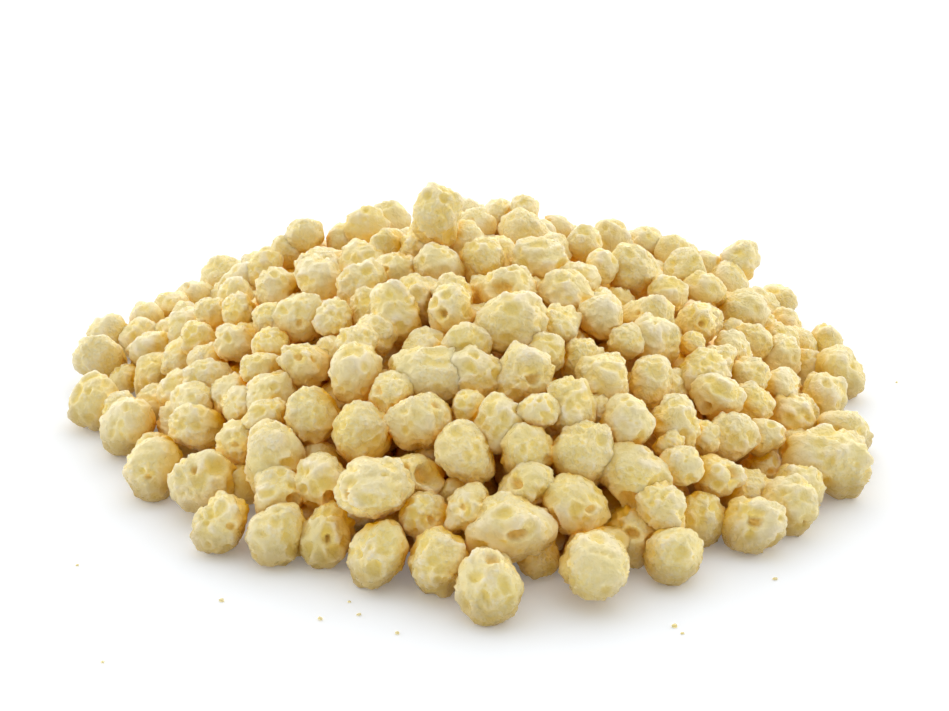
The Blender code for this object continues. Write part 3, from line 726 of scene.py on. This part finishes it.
PALE = (0.90, 0.80, 0.58, 1.0)
RIDGE = (0.92, 0.85, 0.64, 1.0)
CREAM = (0.885, 0.77, 0.44, 1.0)
STRAW = (0.875, 0.735, 0.27, 1.0)
GOLD = (0.87, 0.65, 0.10, 1.0)
AMBER = (0.84, 0.55, 0.12, 1.0)
PAINTED_SHADE_ORANGE = (0.94, 0.565, 0.012, 1.0)     # painted shade: the deep orange that the skin's colour turns to where neighbours keep the light off
PAINTED_FOOT_SHADE = (0.68, 0.61, 0.46, 1.0)        # painted shade: what is left of the colour on the undersides at the foot of the heap
# the core's crumb colours: dark, as painted shade deep inside the heap
CORE_DARK = (0.62, 0.26, 0.03, 1.0)
CORE_LIGHT = (0.80, 0.42, 0.08, 1.0)
PAPER = (0.93, 0.95, 0.98, 1.0)
PAPER_GLOW = (0.90, 0.96, 1.0, 1.0)

GLOSS = (0.24, 0.45)     # least and most roughness of the skins
SKIN_IOR = 1.45
LIGHT_DEPTH = 0.7        # how far light wanders in the crumb, mm
LIGHT_REACH = (1.0, 0.9, 0.6)      # share of that for red, green and blue
THROUGH = 0.85           # how much of the light goes in
GRAIN_DEPTH = 0.17       # of the finest grain, mm


def mark_value(tree, name):
    """The piece's own number for each point, as a socket."""
    made = tree.nodes.new("ShaderNodeAttribute")
    made.attribute_name = name
    return made.outputs["Fac"]


def remap(tree, value, low, high, to_low=0.0, to_high=1.0):
    """A socket's range low..high turned into another range, held at its ends."""
    made = tree.nodes.new("ShaderNodeMapRange")
    tree.links.new(value, made.inputs["Value"])
    made.inputs["From Min"].default_value = low
    made.inputs["From Max"].default_value = high
    made.inputs["To Min"].default_value = to_low
    made.inputs["To Max"].default_value = to_high
    return made.outputs["Result"]


def math_node(tree, operation, *values):
    """Result of a sum on sockets and plain numbers, as a socket."""
    made = tree.nodes.new("ShaderNodeMath")
    made.operation = operation
    for socket, value in zip(made.inputs, values):
        if isinstance(value, float):
            socket.default_value = value
        else:
            tree.links.new(value, socket)
    return made.outputs[0]


def mix_colour(tree, factor, first, second, blend="MIX"):
    """Colour socket that goes from first to second; either may be a value."""
    made = tree.nodes.new("ShaderNodeMix")
    made.data_type = "RGBA"
    made.blend_type = blend
    tree.links.new(factor, made.inputs["Factor"])
    for socket, colour in ((made.inputs[6], first), (made.inputs[7], second)):
        if isinstance(colour, tuple):
            socket.default_value = colour
        else:
            tree.links.new(colour, socket)
    return made.outputs[2]


def noise(tree, place, pitch, detail=2.0):
    """Noise with `pitch` lumps to a millimetre, as a socket from 0 to 1."""
    made = tree.nodes.new("ShaderNodeTexNoise")
    tree.links.new(place, made.inputs["Vector"])
    made.inputs["Scale"].default_value = pitch / MM
    made.inputs["Detail"].default_value = detail
    return made.outputs["Fac"]


def cells_pattern(tree, place, pitch):
    """Distance to the nearest of random spots, `pitch` of them to a millimetre."""
    made = tree.nodes.new("ShaderNodeTexVoronoi")
    tree.links.new(place, made.inputs["Vector"])
    made.inputs["Scale"].default_value = pitch / MM
    return made.outputs["Distance"]


def puff_material(name):
    """Pale crisp skin: cream, gold in its windows, paler on its bulges and gold in its creases
    (partly painted light and painted shade), amber in its holes (painted shade).

    The marks that the pieces carry say where these are, and where painted shade goes between the
    puffs and at the heap's foot.
    """
    made = bpy.data.materials.new(name)
    made.use_nodes = True
    tree = made.node_tree
    shader = tree.nodes["Principled BSDF"]
    place = tree.nodes.new("ShaderNodeTexCoord").outputs["Object"]

    blotch = remap(tree, noise(tree, place, 0.25), 0.38, 0.68, 0.0, 0.6)
    colour = mix_colour(tree, blotch, CREAM, STRAW)
    tinted = remap(tree, mark_value(tree, "tint"), 0.5, 1.0, 0.0, 0.35)
    colour = mix_colour(tree, tinted, colour, GOLD)
    pane = remap(tree, mark_value(tree, "pane"), 0.2, 1.0, 0.0, 0.40)
    colour = mix_colour(tree, pane, colour, GOLD)
    # paler on the bulges and gold in the creases: partly the skin's own thick rims and thin
    # windows, partly painted light on the bulges and painted shade in the creases
    pale = remap(tree, mark_value(tree, "relief"), 0.0, 0.10, 0.0, 0.9)
    colour = mix_colour(tree, pale, colour, PALE)
    low = remap(tree, mark_value(tree, "relief"), -0.02, -0.13, 0.0, 0.6)
    colour = mix_colour(tree, low, colour, GOLD)
    crust = mark_value(tree, "crust")
    fine = noise(tree, place, 1.3, 1.5)
    crease = remap(tree, fine, 0.5, 0.60, 1.0, 0.0)
    crease = math_node(tree, "MULTIPLY", crease, remap(tree, fine, 0.40, 0.5))
    lines = math_node(tree, "MULTIPLY", crease, remap(tree, crust, 0.0, 1.0, 0.1, 0.4))
    colour = mix_colour(tree, lines, colour, RIDGE)
    blister = cells_pattern(tree, place, 2.4)
    between = remap(tree, blister, 0.25, 0.60, 0.0, 0.3)
    between = math_node(tree, "MULTIPLY", between, remap(tree, crust, 0.0, 1.0, 0.1, 1.0))
    colour = mix_colour(tree, between, colour, GOLD)
    # amber in the holes: painted shade in these recesses
    hollow = remap(tree, mark_value(tree, "hollow"), 0.25, 1.0, 0.0, 0.85)
    colour = mix_colour(tree, hollow, colour, AMBER)
    # painted shade between the puffs: the more the neighbours keep the light off a place, the more
    # its colour turns deep orange
    shade = remap(tree, mark_value(tree, "shade"), 0.06, 0.52, 0.0, 0.97)
    colour = mix_colour(tree, shade, colour, PAINTED_SHADE_ORANGE)
    # painted shade on the undersides at the heap's foot
    colour = mix_colour(tree, mark_value(tree, "under"), colour, PAINTED_FOOT_SHADE, "MULTIPLY")
    tree.links.new(colour, shader.inputs["Base Color"])

    rough = remap(tree, noise(tree, place, 1.6), 0.35, 0.7, *GLOSS)
    tree.links.new(rough, shader.inputs["Roughness"])
    shader.inputs["IOR"].default_value = SKIN_IOR
    shader.subsurface_method = "BURLEY"
    shader.inputs["Subsurface Weight"].default_value = THROUGH
    shader.inputs["Subsurface Scale"].default_value = LIGHT_DEPTH * MM
    shader.inputs["Subsurface Radius"].default_value = LIGHT_REACH

    grit = noise(tree, place, 4.0, 3.0)
    bumps = math_node(tree, "MULTIPLY_ADD", blister, -0.6, grit)
    bumps = math_node(tree, "MULTIPLY_ADD", crease, 0.7, bumps)
    bump = tree.nodes.new("ShaderNodeBump")
    tree.links.new(bumps, bump.inputs["Height"])
    tree.links.new(remap(tree, crust, 0.0, 1.0, 0.3, 0.6), bump.inputs["Strength"])
    bump.inputs["Distance"].default_value = GRAIN_DEPTH * MM
    tree.links.new(bump.outputs["Normal"], shader.inputs["Normal"])
    return made


def core_material():
    """Golden crumb darkened as painted shade, between and below the puffs."""
    made = bpy.data.materials.new("shaded_crumb")
    made.use_nodes = True
    tree = made.node_tree
    shader = tree.nodes["Principled BSDF"]
    place = tree.nodes.new("ShaderNodeTexCoord").outputs["Object"]
    colour = mix_colour(tree, noise(tree, place, 0.5), CORE_DARK, CORE_LIGHT)
    tree.links.new(colour, shader.inputs["Base Color"])
    shader.inputs["Roughness"].default_value = 0.8
    bump = tree.nodes.new("ShaderNodeBump")
    tree.links.new(noise(tree, place, 1.5, 3.0), bump.inputs["Height"])
    bump.inputs["Distance"].default_value = 0.5 * MM
    tree.links.new(bump.outputs["Normal"], shader.inputs["Normal"])
    return made


# --- stage, light and camera --------------------------------------------------

def plain_material(name, colour, roughness):
    """A matt material of one colour, for the stage."""
    made = bpy.data.materials.new(name)
    made.use_nodes = True
    shader = made.node_tree.nodes["Principled BSDF"]
    shader.inputs["Base Color"].default_value = colour
    shader.inputs["Roughness"].default_value = roughness
    shader.inputs["Specular IOR Level"].default_value = 0.1
    return made


FLOOR_SIZE = 6.0         # m
FLOOR_GLOW = 0.12        # the surface is lit through from below, which thins the shadows


def build_floor():
    """A plain white surface under the heap."""
    bpy.ops.mesh.primitive_plane_add(size=FLOOR_SIZE, location=(0.0, 0.0, 0.0))
    floor = bpy.context.object
    floor.name = "white_surface"
    paper = plain_material("white_paper", PAPER, 0.8)
    shader = paper.node_tree.nodes["Principled BSDF"]
    shader.inputs["Emission Color"].default_value = PAPER_GLOW
    shader.inputs["Emission Strength"].default_value = FLOOR_GLOW
    floor.data.materials.append(paper)


LIGHT_BOUNCES = 10       # light between the puffs turns gold on its way in and out
TENT_FRONT = 0.24        # strength of the tent's light from the camera's side
TENT_BACK = 1.58         # and from behind the heap
TENT_LOW, TENT_TOP = 1.35, 0.70    # share of it near the surface and overhead
BOX_PLACE = (0.02, 0.28, 0.20)     # of the soft box, m
BOX_SIZE = (0.36, 0.24)            # m
BOX_POWER = 0.12                   # W
BOX_COLOUR = (1.0, 0.99, 0.97)


def build_light():
    """A white tent of light, dimmer on the camera's side, with a soft box behind the heap."""
    world = bpy.context.scene.world or bpy.data.worlds.new("tent")
    bpy.context.scene.world = world
    world.use_nodes = True
    tree = world.node_tree
    background = tree.nodes["Background"]
    background.inputs["Color"].default_value = (1.0, 1.0, 1.0, 1.0)
    split = tree.nodes.new("ShaderNodeSeparateXYZ")
    tree.links.new(tree.nodes.new("ShaderNodeTexCoord").outputs["Generated"], split.inputs[0])
    tent = remap(tree, split.outputs["Y"], -0.9, 0.3, TENT_FRONT, TENT_BACK)
    high = remap(tree, split.outputs["Z"], 0.1, 1.0, TENT_LOW, TENT_TOP)
    tree.links.new(math_node(tree, "MULTIPLY", tent, high), background.inputs["Strength"])
    data = bpy.data.lights.new("soft_box", "AREA")
    data.shape = "RECTANGLE"
    data.size, data.size_y = BOX_SIZE
    data.energy = BOX_POWER
    data.color = BOX_COLOUR
    lamp = bpy.data.objects.new("soft_box", data)
    bpy.context.scene.collection.objects.link(lamp)
    lamp.location = BOX_PLACE
    towards = Vector((0.0, 0.0, 0.0)) - lamp.location
    lamp.rotation_euler = towards.to_track_quat("-Z", "Y").to_euler()


def build_camera():
    """The photograph's camera, worked out from where it looks and from how far."""
    data = bpy.data.cameras.new("camera")
    data.sensor_width = SENSOR
    data.lens = FOCAL_PIXELS / IMAGE_SIZE[0] * SENSOR
    data.clip_start = 0.01
    camera = bpy.data.objects.new("camera", data)
    bpy.context.scene.collection.objects.link(camera)
    right = AIM_PIXEL[0] - IMAGE_SIZE[0] / 2.0
    down = AIM_PIXEL[1] - IMAGE_SIZE[1] / 2.0
    pitch = ELEVATION - math.atan(down / FOCAL_PIXELS)
    yaw = math.atan(right / FOCAL_PIXELS)
    back = DISTANCE * math.cos(ELEVATION)
    up = DISTANCE * math.sin(ELEVATION)
    camera.location = Vector((AIM[0] - MIDDLE[0], AIM[1] - MIDDLE[1] - back, up)) * MM
    camera.rotation_euler = Euler((math.pi / 2.0 - pitch, 0.0, yaw), "XYZ")
    bpy.context.scene.camera = camera


def main():
    """Place the puffs, dress them, and set the stage."""
    striking = striking_puffs()
    puffs = np.vstack([striking, pour(striking)])
    shown = shown_share(puffs)
    deep = np.array([top_height(x, y) - z for x, y, z, _ in puffs])
    kept = (deep < LAYER_DEPTH) | (shown > 0.0)
    puffs, shown = puffs[kept], shown[kept]
    front = puffs[:, 1] < FRONT_Y
    cells = np.where(shown >= SHOWN, MEDIUM, COARSE)
    cells = np.where(front & (shown >= FRONT_SHOWN), FINE, cells)

    grids = {size: ball_grid(size) for size in (FINE, MEDIUM, COARSE)}
    chance = np.random.default_rng(KIND_SEED)
    kinds = chance.choice(len(KINDS), size=len(puffs), p=KIND_SHARES)
    puffs, kinds = dress(puffs, kinds)
    skin = puff_material("crisp_skin")
    pieces = []
    for number, name in enumerate(KINDS):
        mine = kinds == number
        piece = puff_piece(name, puffs[mine], grids, cells[mine], number, puffs)
        piece.data.materials.append(skin)
        pieces.append(piece)
    crumbs = crumbs_piece()
    crumbs.data.materials.append(skin)
    pieces.append(crumbs)
    core = core_piece()
    core.data.materials.append(core_material())
    pieces.append(core)
    for piece in pieces:
        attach(piece, "root")
        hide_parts(HEAP_NODE)

    build_floor()
    build_light()
    build_camera()
    bpy.context.scene.view_settings.view_transform = "Standard"
    bpy.context.scene.cycles.diffuse_bounces = LIGHT_BOUNCES


main()
